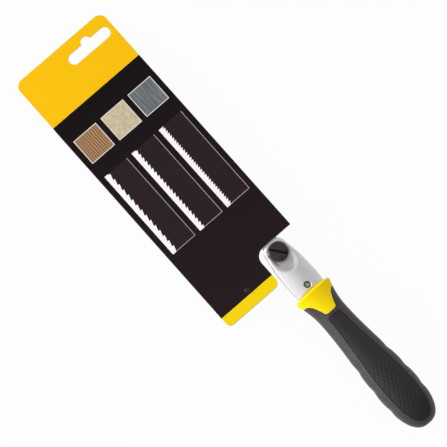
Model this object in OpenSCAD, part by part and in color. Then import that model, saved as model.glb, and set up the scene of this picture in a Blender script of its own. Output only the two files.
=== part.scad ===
// Multipurpose hand saw. A moulded handle carries a die-cast clamp head, the head grips a
// metal-cutting blade, and a printed card sleeve slides over the blade and stores a wood blade.
// The origin is on the clamp screw's axis, in the middle of the blade's thickness.
// +X runs along the blade to its tip, +Y to the toothed edges, +Z out of the front face.

/* [Blades] */
// Thickness of both blades
blade_t = 0.9; // [0.7:0.05:1.2]
// Length of the metal-cutting blade
metal_blade_l = 142; // [125:1:150]
// Width of the metal-cutting blade, and of the wood blade's shank
metal_blade_w = 12.7; // [11:0.1:14]
// Tooth spacing of the metal-cutting blade
metal_pitch = 1.4; // [1.2:0.1:2]
// Tooth depth of the metal-cutting blade
metal_tooth_h = 0.8; // [0.5:0.1:1.2]
// Hole in the free end of the metal-cutting blade
metal_hole_d = 5; // [3:0.1:6]
// Length of the wood-cutting blade
wood_blade_l = 152; // [130:1:160]
// Width of the wood-cutting blade, over its teeth
wood_blade_w = 19; // [16:0.5:22]
// Tooth spacing of the wood-cutting blade
wood_pitch = 3.2; // [2.5:0.1:5]
// Tooth depth of the wood-cutting blade
wood_tooth_h = 2.1; // [1.5:0.1:2.5]
// Length of the slanted end of the wood-cutting blade
wood_tip_l = 14; // [8:0.5:20]
// How far a blade's shank reaches behind the clamp screw
blade_seat = 9.5; // [8:0.5:11]
// Front of the jaws to a blade's first tooth
tooth_start = 5; // [3:0.5:8]

/* [Clamp head] */
// Clamp screw to the front end of the jaws
head_front = 8.6; // [8:0.1:12]
// Clamp screw to the back end of the jaws
head_back = 33.5; // [32:0.5:40]
// Greatest width of the jaws
head_w = 22; // [20:0.1:25]
// Thickness over both jaws
head_t = 13; // [12:0.1:15]
// Radius of the curved sides
side_r = 128; // [100:1:160]
// Clamp screw to the widest place of the jaws
side_pos = 22; // [16:0.5:28]
// Corner radius at the front of the jaws
corner_r = 4.5; // [2:0.1:6]
// Bevel round the outer faces of the jaws
jaw_bevel = 1.2; // [0.6:0.1:1.6]
// Radius of the crown across the outer faces
crown_r = 40; // [34:1:60]
// Front jaw thickness under the clamp washer
pad_t = 4.65; // [4:0.05:5.2]
// Radius of the recess round the clamp screw
pad_r = 7.6; // [7.4:0.1:9]
// Length of that recess behind the clamp screw
pad_run = 6.8; // [0:0.1:8]
// Slope of the recess's wall, measured outwards
pad_draft = 0.8; // [0.2:0.1:1.2]
// Clamp screw to the heel screw
heel_pos = 29; // [28:0.5:31]
// Clamp screw to the jaw spring
spring_pos = 19; // [17:0.5:21]
// Wall left under the jaw spring
spring_floor_t = 2; // [1.5:0.1:3]
// Depth of the spring's pocket in the front jaw
spring_sink = 2.5; // [1.5:0.1:3]

/* [Fasteners] */
// Clamp screw thread
clamp_d = 6; // [5:0.1:6.5]
// Clamp screw head
clamp_head_d = 13.2; // [12:0.1:15]
// Height of the clamp screw head
clamp_head_t = 3.8; // [3:0.1:4.5]
// Bevel round the clamp screw head
clamp_head_edge = 0.5; // [0.3:0.05:0.8]
// Width of the coin slot
coin_slot_w = 1.6; // [1.2:0.1:2.2]
// Depth of the coin slot
coin_slot_h = 1.9; // [1:0.1:2.2]
// Direction of the coin slot
coin_slot_turn = 37; // [0:1:180]
// Clamp washer outside diameter
washer_d = 12.4; // [11:0.1:13]
// Clamp washer thickness
washer_t = 0.8; // [0.5:0.1:1.2]
// Clamp nut across its flats
nut_af = 10; // [9:0.1:11]
// Clamp nut thickness
nut_t = 4; // [3:0.1:4.2]
// Heel screw thread
heel_d = 3.5; // [3:0.1:4]
// Heel screw head
heel_head_d = 4.2; // [4:0.1:5]
// Height of the heel screw head
heel_head_t = 1.8; // [1.4:0.1:2]
// Heel screw socket across its flats
heel_socket_af = 2; // [1.5:0.1:2.2]
// Depth of the heel screw socket
heel_socket_h = 1.1; // [0.8:0.1:1.3]
// Jaw spring outside diameter
spring_d = 5; // [4.5:0.1:5.5]
// Jaw spring wire
spring_wire = 0.7; // [0.5:0.05:0.8]
// Turns in the jaw spring
spring_turns = 5; // [4:1:6]
// Tang pin diameter
pin_d = 3; // [2:0.1:3.5]
// Collar face to the first tang pin
pin_pos = 26; // [22:0.5:30]
// Distance between the two tang pins
pin_spacing = 20; // [15:0.5:22]
// Depth of each tang pin's ends below the core's surface
pin_sink = 0.6; // [0.3:0.1:1]

/* [Handle] */
// Collar face to the butt
grip_l = 118; // [110:1:135]
// Width of the collar
collar_w = 28.6; // [27:0.2:31]
// Thickness of the collar
collar_h = 23.6; // [22:0.2:26]
// Rounding of the collar's front edge
collar_round = 1.5; // [1:0.1:2]
// Width at the waist
waist_w = 21.4; // [20:0.2:24]
// Thickness at the waist
waist_h = 19.2; // [18.6:0.2:22]
// Width at the belly
belly_w = 29.4; // [28:0.2:32]
// Thickness at the belly
belly_h = 24.8; // [24:0.2:28]
// Collar face to the waist
waist_pos = 21.5; // [19:0.5:24]
// Collar face to the belly
belly_pos = 88; // [82:1:94]
// Roundness of the butt, where 2 is an ellipse
fullness = 2.5; // [2:0.1:3]
// Squareness of the cross-section, where 2 is an ellipse
squareness = 2.35; // [2:0.05:2.8]
// Thickness of the rubber over the core
grip_t = 2.4; // [2:0.1:3]
// Collar face to the rubber's front edge at the sides
flank_pos = 6.5; // [5.5:0.1:8]
// Width of the collar's shield where the rubber starts
shield_w = 19.8; // [17:0.2:21]
// Collar face to the shield's tip
shield_l = 19.3; // [17:0.1:20.5]
// Width of the shield's tip
shield_tip_w = 8.8; // [6:0.2:10]
// Hollow of the shield's sides, where 1 is straight
shield_hollow = 1.3; // [1:0.1:2]
// Rounding of the shield's tip
shield_tip_r = 1.6; // [0.8:0.1:2.4]
// Rounding of the rubber's front corners beside the shield
lobe_r = 3.6; // [2.5:0.1:5]
// Gap from the shield's tip to the grip panel
panel_start = 2.4; // [1.5:0.1:4]
// Width of the grip panel at its front
panel_front_w = 10.4; // [9:0.2:12]
// Width of the grip panel at the belly
panel_belly_w = 20.4; // [18:0.2:22]
// Rounding of the grip panel's front corners
panel_corner_r = 1.6; // [0.8:0.1:2.4]
// Thickness of the grip panel
panel_t = 1.3; // [1:0.1:1.5]
// Distance of the grip panel from the butt
panel_butt_gap = 3.3; // [2.5:0.1:5]
// Groove round the grip panel
panel_groove = 0.4; // [0.3:0.05:0.6]
// Depth of the grip panel's face below the rubber
panel_sink = 0.05; // [0:0.05:0.2]
// Length of the tang inside the core
tang_l = 58; // [50:1:62]
// Width of the tang
tang_w = 11; // [9:0.1:12]
// Thickness of the tang
tang_t = 5; // [4:0.1:5.5]
// How far the tang's top lies above the slot's floor
tang_rise = 1; // [0.5:0.1:1.5]

/* [Card sleeve] */
// Thickness of the card
card_t = 0.5; // [0.4:0.05:0.7]
// Width of the sleeve
sleeve_w = 76.8; // [72:0.2:84]
// Blade centre line to the sleeve's folded edge
sleeve_right = 19.1; // [15:0.1:22]
// Jaws to the sleeve's mouth
mouth_gap = 1.2; // [0.5:0.1:3]
// Jaws to the cut-out beside them
notch_gap = 1.8; // [0.8:0.1:3]
// Length of the sleeve's foot beside the jaws
foot_l = 26; // [24.5:0.1:30]
// Room in the pocket past the longer blade
pocket_room = 27.8; // [20:0.1:40]
// Length of the stuck-down slope between pocket and header
header_slope = 5; // [3:0.5:8]
// Length of the header that hangs on a peg
header_l = 39.4; // [32:0.2:45]
// Corner radius of the header
card_corner_r = 6; // [3:0.5:8]
// Corner radius of the foot
foot_corner_r = 4.2; // [2:0.1:6]
// Hang slot length
hang_l = 35; // [32:0.5:40]
// Hang slot width
hang_w = 8; // [7:0.1:10]
// Diameter of the peg notch in the hang slot's upper edge
hang_notch_d = 7.6; // [6:0.1:9]
// Middle of the hang slot to the middle of its peg notch
hang_notch_rise = 3.6; // [3:0.1:5]
// Header's top edge to the middle of the hang slot
hang_drop = 12.8; // [12:0.1:15]
// Blade centre line to the middle of the hang slot
hang_y = 2; // [0:0.1:15]
// Blade centre line to the rivet and the stored blade
rivet_y = 31.8; // [30:0.1:36]
// Rivet shank
rivet_d = 3.4; // [2.6:0.1:4.4]
// Rivet head
rivet_head_d = 5; // [4.6:0.1:7]
// Flat top of the rivet head
rivet_flat_d = 3.6; // [3:0.1:4.5]
// Height of the rivet head
rivet_head_t = 0.9; // [0.6:0.1:1.2]

/* [Fits] */
// Blade to each jaw
blade_clear = 0.1; // [0.05:0.01:0.2]
// Blade to each face of the pocket
pocket_clear = 0.35; // [0.25:0.05:0.5]
// Moving or inserted piece to its seat
seat_clear = 0.15; // [0.1:0.01:0.2]
// Screw to a plain hole
hole_clear = 0.3; // [0.25:0.05:0.5]
// Screw to its thread
thread_clear = 0.05; // [0.03:0.01:0.08]
// Back of the jaws to the collar's face
collar_gap = 0.3; // [0.25:0.05:0.5]

/* [Hidden] */
$fn = 64;
eps = 0.01;
overcut = 1;

// Blade and slot levels
slot_half = blade_t / 2 + blade_clear;
head_half = head_t / 2;
jaw_t = head_half - slot_half;
fork_w = clamp_d + 2 * hole_clear;
pad_z = slot_half + pad_t;
pad_rise = head_half - pad_z;
washer_top = pad_z + washer_t;
slot_end = -blade_seat - hole_clear;
nut_top = -head_half + nut_t + 2 * seat_clear;
screw_tip = -head_half + 4 * seat_clear;
heel_seat = head_half - heel_head_t - jaw_bevel;
tang_low = tang_rise - slot_half - tang_t;
spring_floor = -head_half + spring_floor_t;
spring_roof = slot_half + spring_sink;

// Handle stations along X
face_x = -head_back - collar_gap;
rim_x = face_x - collar_round;
flank_x = face_x - flank_pos;
shield_x = face_x - shield_l;
waist_x = face_x - waist_pos;
belly_x = face_x - belly_pos;
butt_x = face_x - grip_l;
panel_x = shield_x - panel_start;

// Sleeve levels and places
pocket_half = blade_t / 2 + pocket_clear;
card_out = pocket_half + card_t;
mouth_x = head_front + mouth_gap;
foot_x = mouth_x - foot_l;
notch_y = head_w / 2 + notch_gap;
sleeve_left = sleeve_w - sleeve_right;
rivet_x = foot_x + blade_seat + fork_w / 2 - rivet_d / 2;
wood_heel_x = rivet_x + rivet_d / 2 + seat_clear - fork_w / 2 - blade_seat;
metal_tip_x = metal_blade_l - blade_seat;
wood_tip_x = wood_heel_x + wood_blade_l;
header_x = max(metal_tip_x, wood_tip_x) + pocket_room;
top_x = header_x + header_l;

// Shared 2D shapes and small parts

module rounded_front(back, front, low, high, r) {
    translate([back, low]) square([front - back - r, high - low]);
    translate([back, low + r]) square([front - back, high - low - 2 * r]);
    for (y = [low + r, high - r]) translate([front - r, y]) circle(r);
}

module hexagon(af) {
    circle(d = af / cos(30), $fn = 6);
}

module bore(x, d, low, high) {
    translate([x, 0, low]) cylinder(d = d, h = high - low);
}

// Clamp head

// Half of the jaws' width at x, between the two curved sides.
function side_half(x) = head_w / 2 - side_r + sqrt(side_r * side_r - pow(x + side_pos, 2));

module jaw_outline() {
    corner_x = head_front - corner_r;
    half = side_half(corner_x);
    rounded_front(corner_x - eps, head_front, -half, half, corner_r);
    intersection() {
        translate([-head_back, -head_w / 2]) square([head_back + corner_x, head_w]);
        side_lens();
    }
}

// The lens between the two circles that bound the jaws' sides.
module side_lens() {
    side_facets = 240;
    intersection() {
        translate([-side_pos, side_r - head_w / 2]) circle(side_r, $fn = side_facets);
        translate([-side_pos, head_w / 2 - side_r]) circle(side_r, $fn = side_facets);
    }
}

// One jaw from the slot outwards, bevelled round its outer face and crowned across it.
module jaw_blank() {
    intersection() {
        translate([0, 0, slot_half]) hull() {
            linear_extrude(jaw_t - jaw_bevel) jaw_outline();
            linear_extrude(jaw_t) offset(delta = -jaw_bevel) jaw_outline();
        }
        translate([0, 0, head_half - crown_r]) rotate([0, 90, 0])
            cylinder(r = crown_r, h = 4 * head_back, center = true, $fn = 128);
    }
}

// Recess for the clamp screw's head and washer, longer than it is wide, with sloping walls.
module pad_recess() {
    low = pad_r - pad_draft;
    for (x = [0, -pad_run]) translate([x, 0, pad_z]) cylinder(h = pad_rise, r1 = low, r2 = pad_r);
    translate([-pad_run, 0, pad_z]) rotate([90, 0, 90]) linear_extrude(pad_run)
        polygon([[-low, 0], [low, 0], [pad_r, pad_rise], [-pad_r, pad_rise]]);
}

module front_jaw() {
    color("#c9cbcd") difference() {
        jaw_blank();
        pad_recess();
        bore(0, fork_w, 0, head_t);
        bore(-heel_pos, heel_d + 2 * hole_clear, 0, head_half);
        bore(-heel_pos, heel_head_d + 2 * hole_clear, heel_seat, head_half + eps);
        bore(-spring_pos, spring_d + 2 * hole_clear, 0, spring_roof);
    }
}

module tang() {
    translate([-head_back - tang_l, -tang_w / 2, tang_low]) cube([tang_l + eps, tang_w, tang_t]);
}

// The heel fills the slot behind the blade and carries the front jaw.
module heel() {
    translate([0, 0, -slot_half - eps]) linear_extrude(2 * slot_half - blade_clear + eps) intersection() {
        jaw_outline();
        translate([-head_back, -head_w]) square([head_back + slot_end, 2 * head_w]);
    }
}

module rear_jaw() {
    color("#c4c6c9") difference() {
        union() {
            mirror([0, 0, 1]) jaw_blank();
            heel();
            tang();
        }
        bore(0, fork_w, -head_half - eps, head_half);
        translate([0, 0, -head_half - eps]) linear_extrude(nut_top + head_half + eps)
            hexagon(nut_af + 2 * seat_clear);
        bore(-heel_pos, heel_d + 2 * thread_clear, -head_half + jaw_bevel, head_half);
        bore(-spring_pos, spring_d + 2 * hole_clear, spring_floor, head_half);
        for (i = [0, 1])
            bore(face_x - pin_pos - i * pin_spacing, pin_d + 2 * thread_clear, -head_half, head_half);
    }
}

module clamp_screw() {
    head_r = clamp_head_d / 2;
    color("#2b292b") union() {
        translate([0, 0, washer_top]) rotate([0, 0, coin_slot_turn]) difference() {
            rotate_extrude() polygon([
                [0, 0], [head_r, 0], [head_r, clamp_head_t - 2 * clamp_head_edge],
                [head_r - clamp_head_edge, clamp_head_t - clamp_head_edge / 2], [head_r / 2, clamp_head_t],
                [0, clamp_head_t]]);
            translate([-clamp_head_d, -coin_slot_w / 2, clamp_head_t - coin_slot_h])
                cube([2 * clamp_head_d, coin_slot_w, clamp_head_t]);
        }
        translate([0, 0, screw_tip]) cylinder(d = clamp_d, h = washer_top - screw_tip + eps);
    }
}

module clamp_washer() {
    color("#9a9ca0") translate([0, 0, pad_z]) difference() {
        cylinder(d = washer_d, h = washer_t);
        translate([0, 0, -eps]) cylinder(d = clamp_d + hole_clear, h = washer_t + 2 * eps);
    }
}

module clamp_nut() {
    color("#a7a9ad") translate([0, 0, nut_top - seat_clear - nut_t]) difference() {
        linear_extrude(nut_t) hexagon(nut_af);
        translate([0, 0, -eps]) cylinder(d = clamp_d + 2 * thread_clear, h = nut_t + 2 * eps);
    }
}

module heel_screw() {
    head_z = heel_seat + seat_clear;
    tip_z = -head_half + jaw_bevel + seat_clear;
    color("#55565a") translate([-heel_pos, 0, 0]) difference() {
        union() {
            translate([0, 0, head_z]) cylinder(d = heel_head_d, h = heel_head_t);
            translate([0, 0, tip_z]) cylinder(d = heel_d, h = head_z - tip_z + eps);
        }
        translate([0, 0, head_z + heel_head_t - heel_socket_h])
            linear_extrude(heel_head_t) hexagon(heel_socket_af);
    }
}

// Spring wire: rings of six points swept along a helix between its two pocket floors.
module jaw_spring() {
    rings_per_turn = 8;
    sides = 6;
    rings = spring_turns * rings_per_turn;
    wire_r = spring_wire / 2;
    coil_r = spring_d / 2 - wire_r;
    low = spring_floor + seat_clear + wire_r;
    rise = spring_roof - seat_clear - wire_r - low;
    points = [for (k = [0:rings]) let (a = 360 * k / rings_per_turn, z = low + rise * k / rings)
        for (s = [0:sides - 1]) let (b = 360 * s / sides, r = coil_r + wire_r * cos(b))
            [r * cos(a), r * sin(a), z + wire_r * sin(b)]];
    sides_faces = [for (k = [0:rings - 1], s = [0:sides - 1])
        let (a = k * sides + s, b = k * sides + (s + 1) % sides, c = b + sides, d = a + sides)
        each [[a, c, b], [a, d, c]]];
    ends = [for (s = [1:sides - 2]) each [[0, s, s + 1],
        [rings * sides, rings * sides + s + 1, rings * sides + s]]];
    echo(spring_gap = rise / spring_turns - spring_wire);
    color("#b5b7ba") translate([-spring_pos, 0, 0]) polyhedron(points, concat(sides_faces, ends));
}

module tang_pins() {
    pin_l = waist_h - 2 * (core_d + pin_sink);
    color("#8f9195") for (i = [0, 1])
        translate([face_x - pin_pos - i * pin_spacing, 0, 0]) cylinder(d = pin_d, h = pin_l, center = true);
}

// Handle skin: a superellipse section carried along X, on a grid of rows and columns whose
// column lines follow the borders of the shield and of the grip panels.

core_d = grip_t + seat_clear;
panel_seat = panel_t + seat_clear;
flank_cols = 8;
panel_cols = 10;
cols = 2 * (flank_cols + panel_cols);
lobe_reach = 0.97;
butt_reach = 0.992;
panel_reach = 0.985;
panel_end_x = belly_x - panel_reach * (belly_x - butt_x - panel_butt_gap);

function ease(a, b, t) = a + (b - a) * (1 - cos(180 * t)) / 2;
function dome(u) = pow(max(0, 1 - pow(u, fullness)), 1 / fullness);
function powered(v, p) = sign(v) * pow(abs(v), p);
function steps(from, to, n) = [for (k = [1:n]) from + (to - from) * k / n];

// Half of a section's width or thickness at x, taken in by d all round.
function half(x, d, collar, waist, belly) =
    x > rim_x ? collar / 2 - d - collar_round * (1 - sqrt(max(0, 1 - pow((x - rim_x) / collar_round, 2)))) :
    x > waist_x ? waist / 2 - d + (collar - waist) / 2 * pow((x - waist_x) / (rim_x - waist_x), 2) :
    x > belly_x ? ease(waist / 2, belly / 2, (waist_x - x) / (waist_x - belly_x)) - d :
    (belly / 2 - d) * dome((belly_x - x) / (belly_x - butt_x - d));
function half_w(x, d) = half(x, d, collar_w, waist_w, belly_w);
function half_h(x, d) = half(x, d, collar_h, waist_h, belly_h);

// Half width of the shield in front of its tip, and of the grip panel behind it. The shield runs
// out round the collar in front of the rubber's rounded corners.
function corner_loss(share) = 1 - sqrt(1 - pow(min(1, max(0, 1 - share)), 2));
function shield_side(x) = (shield_tip_w
    + (shield_w - shield_tip_w) * pow((x - shield_x) / (flank_x - shield_x), shield_hollow)) / 2;
function border(x) =
    x > flank_x ? lobe_reach * half_w(x, 0) :
    x >= shield_x ? shield_side(x) - shield_tip_r * corner_loss((x - shield_x) / shield_tip_r)
        + (lobe_reach * half_w(x, 0) - shield_side(x)) * corner_loss((flank_x - x) / lobe_r) :
    x > belly_x ? ease(panel_front_w / 2, panel_belly_w / 2, (shield_x - x) / (shield_x - belly_x))
        - panel_corner_r * corner_loss((panel_x - x) / panel_corner_r) :
    x >= panel_end_x ? panel_belly_w / 2 * dome((belly_x - x) / (belly_x - butt_x - panel_butt_gap)) :
    border(panel_end_x) * half_w(x, 0) / half_w(panel_end_x, 0);

collar_rows = [face_x, (face_x + rim_x) / 2, rim_x, (rim_x + flank_x) / 2, flank_x];
shield_rows = concat([for (k = [1:3]) flank_x - lobe_r * (1 - cos(30 * k))],
    steps(flank_x - lobe_r, shield_x + shield_tip_r, 3),
    [for (k = [1:3]) shield_x + shield_tip_r * (1 - sin(30 * k))]);
panel_rows = concat([for (k = [0:3]) panel_x - panel_corner_r * (1 - cos(30 * k))],
    steps(panel_x - panel_corner_r, belly_x, 10),
    [for (k = [1:7]) belly_x - (belly_x - panel_end_x) * sin(90 * k / 7)]);
last_x = belly_x - butt_reach * (belly_x - butt_x);
butt_rows = [for (k = [1:3]) panel_end_x + (last_x - panel_end_x) * sin(30 * k)];
row_x = concat(collar_rows, shield_rows, panel_rows, butt_rows);
flank_row = len(collar_rows) - 1;
shield_row = flank_row + len(shield_rows);
panel_row = shield_row + 1;
panel_end_row = shield_row + len(panel_rows);
last_row = len(row_x) - 1;

// Behind the belly a skin that is taken in by d also ends d short of the butt.
function taken_in(x, d) =
    x > belly_x ? x : belly_x + (x - belly_x) * (belly_x - butt_x - d) / (belly_x - butt_x);
function border_angle(x, trim) =
    acos(pow(min(1, max(0, (border(x) - trim) / half_w(x, 0))), squareness / 2));
function column_angle(j, a) =
    let (zone = floor(j / (flank_cols + panel_cols)), k = j - zone * (flank_cols + panel_cols))
    180 * zone + (k <= flank_cols ? -a + 2 * a * k / flank_cols
                                  : a + (180 - 2 * a) * (k - flank_cols) / panel_cols);
function on_panel(j) = j % (flank_cols + panel_cols) >= flank_cols;
function skin_point(x, angle, d) = [taken_in(x, d),
    half_w(taken_in(x, d), d) * powered(cos(angle), 2 / squareness),
    half_h(taken_in(x, d), d) * powered(sin(angle), 2 / squareness)];
function skin(d, trim = 0) = [for (x = row_x) let (a = border_angle(x, trim))
    for (j = [0:cols - 1]) skin_point(x, column_angle(j, a), d)];

// Triangles of a shell on the grid. outer(i, j) is the layer of a cell's outer face, or -1 where
// there is none, and inner is the layer of its inner face, or -1 for a shape that is solid inside.
function corner(layer, i, j) = (layer * len(row_x) + i) * cols + j % cols;
function quad(a, b, c, d) = [[a, b, c], [a, c, d]];
function face(layer, i, j) = quad(corner(layer, i, j), corner(layer, i, j + 1),
                                  corner(layer, i + 1, j + 1), corner(layer, i + 1, j));
function face_inside(layer, i, j) = [for (t = face(layer, i, j)) [t[0], t[2], t[1]]];
function wall(high, low, a, b) = quad(corner(low, a[0], a[1]), corner(low, b[0], b[1]),
                                      corner(high, b[0], b[1]), corner(high, a[0], a[1]));
// Wall along one edge of a cell, down to its neighbour's outer face or to its own inner face.
// The first and last rows of a solid, and the last row of a lidded shell, have no such wall.
function edge_wall(outer, inner, open, i, j, di, dj, a, b) =
    let (beside = open(i + di) ? outer(i + di, (j + dj + cols) % cols) : -1,
         low = beside >= 0 ? beside : inner)
    low > outer(i, j) ? wall(outer(i, j), low, a, b) : [];
function shell(outer, inner, rows, lidded) =
    let (first = rows[0], last = rows[1],
         open = function(i) i >= first && i < last,
         below = function(i, j) lidded && i >= last ? outer(last - 1, j) : open(i) ? outer(i, j) : -1,
         within = function(i) i >= first && (lidded || i < last))
    [for (i = [first:last - 1], j = [0:cols - 1]) if (outer(i, j) >= 0) each concat(
        face(outer(i, j), i, j),
        inner < 0 ? [] : face_inside(inner, i, j),
        edge_wall(below, inner, within, i, j, -1, 0, [i, j], [i, j + 1]),
        edge_wall(below, inner, within, i, j, 1, 0, [i + 1, j + 1], [i + 1, j]),
        edge_wall(below, inner, within, i, j, 0, -1, [i + 1, j], [i, j]),
        edge_wall(below, inner, within, i, j, 0, 1, [i, j + 1], [i + 1, j + 1]))];
function lid(layer, i, flip) = [for (j = [1:cols - 2])
    flip ? [corner(layer, i, 0), corner(layer, i, j), corner(layer, i, j + 1)]
         : [corner(layer, i, 0), corner(layer, i, j + 1), corner(layer, i, j)]];

// Yellow core: the collar and its shields stand at the full skin, the rest lies under the rubber.
module core_blank() {
    depth = function(i, j) i < flank_row || (i < shield_row && on_panel(j)) ? 0 : 1;
    polyhedron(concat(skin(0), skin(core_d)),
        concat(shell(depth, -1, [0, last_row], true), lid(0, 0, false), lid(1, last_row, true)));
}

module handle_core() {
    color("#f5c811") difference() {
        core_blank();
        translate([-head_back - tang_l, -tang_w / 2, tang_low] - seat_clear * [1, 1, 1])
            cube([tang_l, tang_w, tang_t] + 2 * seat_clear * [1, 1, 1]);
        for (i = [0, 1]) translate([face_x - pin_pos - i * pin_spacing, 0, 0])
            cylinder(d = pin_d + 2 * thread_clear, h = waist_h + belly_h, center = true);
    }
}

// Black rubber: starts at the flanks, leaves the shields free and is recessed for the panels.
module grip_overmould() {
    depth = function(i, j)
        on_panel(j) && i < shield_row ? -1 :
        on_panel(j) && i >= panel_row && i < panel_end_row ? 1 : 0;
    color("#2e2c2d") polyhedron(concat(skin(0), skin(panel_seat), skin(grip_t)),
        concat(shell(depth, 2, [flank_row, last_row], true),
               lid(0, last_row, true), lid(2, last_row, false)));
}

// Hard panel let into the rubber, with a groove all round.
module grip_panel(side) {
    depth = function(i, j) on_panel(j) && floor(j / (flank_cols + panel_cols)) == side ? 0 : -1;
    color("#262425") polyhedron(concat(skin(panel_sink, panel_groove), skin(panel_t, panel_groove)),
        shell(depth, 1, [panel_row, panel_end_row], false));
}

module front_grip_panel() {
    grip_panel(0);
}

module rear_grip_panel() {
    grip_panel(1);
}

// Blades

// Points of a row of raked teeth with their tips at height y, cutting towards +X.
function teeth(from, to, y, pitch, depth) =
    let (count = floor((to - from) / pitch), gullet = 0.25, tip = 0.94)
    [for (k = [0:count - 1])
        each [[from + (k + gullet) * pitch, y - depth], [from + (k + tip) * pitch, y]]];

// Forked shank that straddles the clamp screw, with its fork centred on the origin.
module fork() {
    translate([-blade_seat - overcut, -fork_w / 2]) square([blade_seat + overcut, fork_w]);
    circle(d = fork_w);
}

module metal_blade() {
    high = metal_blade_w / 2;
    root = high - metal_tooth_h;
    end_r = (root + high) / 2;
    end_x = metal_tip_x - end_r;
    first_tooth = head_front + tooth_start;
    color("#b9bcc0") translate([0, 0, -blade_t / 2]) difference() {
        union() {
            linear_extrude(blade_t) polygon(concat(
                [[-blade_seat, -high], [-blade_seat, high], [first_tooth, high]],
                teeth(first_tooth, end_x - end_r, high, metal_pitch, metal_tooth_h),
                [[end_x - end_r, root], [end_x, root], [end_x, -high]]));
            translate([end_x, root - end_r, 0]) cylinder(r = end_r, h = blade_t);
        }
        translate([0, 0, -eps]) linear_extrude(blade_t + 2 * eps) fork();
        translate([end_x, root - end_r, -eps]) cylinder(d = metal_hole_d, h = blade_t + 2 * eps);
    }
}

// The stored blade widens behind its shank and ends in a slant, with its fork round the rivet.
module wood_blade() {
    high = wood_blade_w / 2;
    root = high - wood_tooth_h;
    shank_half = metal_blade_w / 2;
    shank_x = head_front + tooth_start;
    tip_x = wood_blade_l - blade_seat;
    color("#bcbfc2") translate([wood_heel_x + blade_seat, rivet_y, -blade_t / 2])
        linear_extrude(blade_t) difference() {
            polygon(concat(
                [[-blade_seat, -shank_half], [-blade_seat, shank_half], [shank_x, shank_half]],
                teeth(shank_x + wood_pitch, tip_x, high, wood_pitch, wood_tooth_h),
                [[tip_x, root], [tip_x - wood_tip_l, -high], [shank_x + wood_pitch, -high],
                 [shank_x, -shank_half]]));
            fork();
        }
}

// Card sleeve

module sleeve_outline() {
    rounded_front(mouth_x, top_x, -sleeve_right, sleeve_left, card_corner_r);
    mirror([1, 0]) rounded_front(-mouth_x - eps, -foot_x, notch_y, sleeve_left, foot_corner_r);
}

module hang_slot() {
    reach = (hang_l - hang_w) / 2;
    translate([top_x - hang_drop, hang_y]) {
        for (y = [-reach, reach]) translate([0, y]) circle(d = hang_w);
        translate([-hang_w / 2, -reach]) square([hang_w, 2 * reach]);
        translate([hang_notch_rise, 0]) circle(d = hang_notch_d);
    }
}

module card_cut() {
    difference() {
        sleeve_outline();
        hang_slot();
        translate([rivet_x, rivet_y]) circle(d = rivet_d + 2 * thread_clear);
    }
}

module sleeve_front_panel() {
    color("#1d1a1b") translate([0, 0, pocket_half]) linear_extrude(card_t) card_cut();
}

// Back ply: flat behind the pocket, then sloping up to lie against the front ply in the header.
module back_profile(low, high) {
    from = foot_x - overcut;
    to = top_x + overcut;
    polygon([[from, -pocket_half + low], [header_x - header_slope, -pocket_half + low],
             [header_x, pocket_half + low], [to, pocket_half + low], [to, pocket_half + high],
             [header_x, pocket_half + high], [header_x - header_slope, -pocket_half + high],
             [from, -pocket_half + high]]);
}

// Side wall of the pocket, from the back ply up to the front ply.
module pocket_wall(from, y) {
    translate([0, y + card_t, 0]) rotate([90, 0, 0]) linear_extrude(card_t)
        polygon([[from, -pocket_half - card_t / 2], [header_x - header_slope, -pocket_half - card_t / 2],
                 [header_x, pocket_half - card_t / 2], [header_x, pocket_half], [from, pocket_half]]);
}

module sleeve_back_panel() {
    color("#1d1a1b") union() {
        intersection() {
            translate([0, 0, -2 * card_out]) linear_extrude(4 * card_out) card_cut();
            translate([0, 2 * sleeve_w, 0]) rotate([90, 0, 0]) linear_extrude(4 * sleeve_w)
                back_profile(-card_t, 0);
        }
        pocket_wall(mouth_x, -sleeve_right);
        pocket_wall(foot_x + foot_corner_r, sleeve_left - card_t);
    }
}

module rivet_stud() {
    color("#201e1f") translate([rivet_x, rivet_y, 0]) union() {
        translate([0, 0, card_out]) cylinder(d1 = rivet_head_d, d2 = rivet_flat_d, h = rivet_head_t);
        translate([0, 0, -card_out]) cylinder(d = rivet_d, h = 2 * card_out + eps);
    }
}

module rivet_cap() {
    color("#201e1f") translate([rivet_x, rivet_y, -card_out - rivet_head_t])
        cylinder(d1 = rivet_flat_d, d2 = rivet_head_d, h = rivet_head_t);
}

handle_core();
grip_overmould();
front_grip_panel();
rear_grip_panel();
rear_jaw();
front_jaw();
clamp_screw();
clamp_washer();
clamp_nut();
heel_screw();
jaw_spring();
tang_pins();
metal_blade();
wood_blade();
sleeve_front_panel();
sleeve_back_panel();
rivet_stud();
rivet_cap();
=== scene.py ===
"""Looks of a multipurpose hand saw in its card sleeve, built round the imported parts."""

import math

import bpy
import numpy as np
from mathutils import Matrix, Vector


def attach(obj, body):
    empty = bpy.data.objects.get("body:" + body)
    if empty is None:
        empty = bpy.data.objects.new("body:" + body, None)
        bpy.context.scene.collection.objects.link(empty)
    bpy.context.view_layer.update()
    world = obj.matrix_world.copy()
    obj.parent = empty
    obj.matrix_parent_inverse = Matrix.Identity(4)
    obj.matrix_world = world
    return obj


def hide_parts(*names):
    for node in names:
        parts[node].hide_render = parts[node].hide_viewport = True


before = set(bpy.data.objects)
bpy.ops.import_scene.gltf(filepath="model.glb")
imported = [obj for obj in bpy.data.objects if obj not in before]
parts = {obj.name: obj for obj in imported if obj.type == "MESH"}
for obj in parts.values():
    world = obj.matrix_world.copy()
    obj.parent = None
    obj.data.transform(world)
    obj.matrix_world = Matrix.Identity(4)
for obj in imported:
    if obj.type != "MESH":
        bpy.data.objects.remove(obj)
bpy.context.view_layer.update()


# Clamp head: a rear jaw with a tang and a front jaw that rocks on its heel.
# Both are pressure die-cast in zinc alloy, tumbled so that every edge is soft, and satin plated.
mm = 0.001


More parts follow.
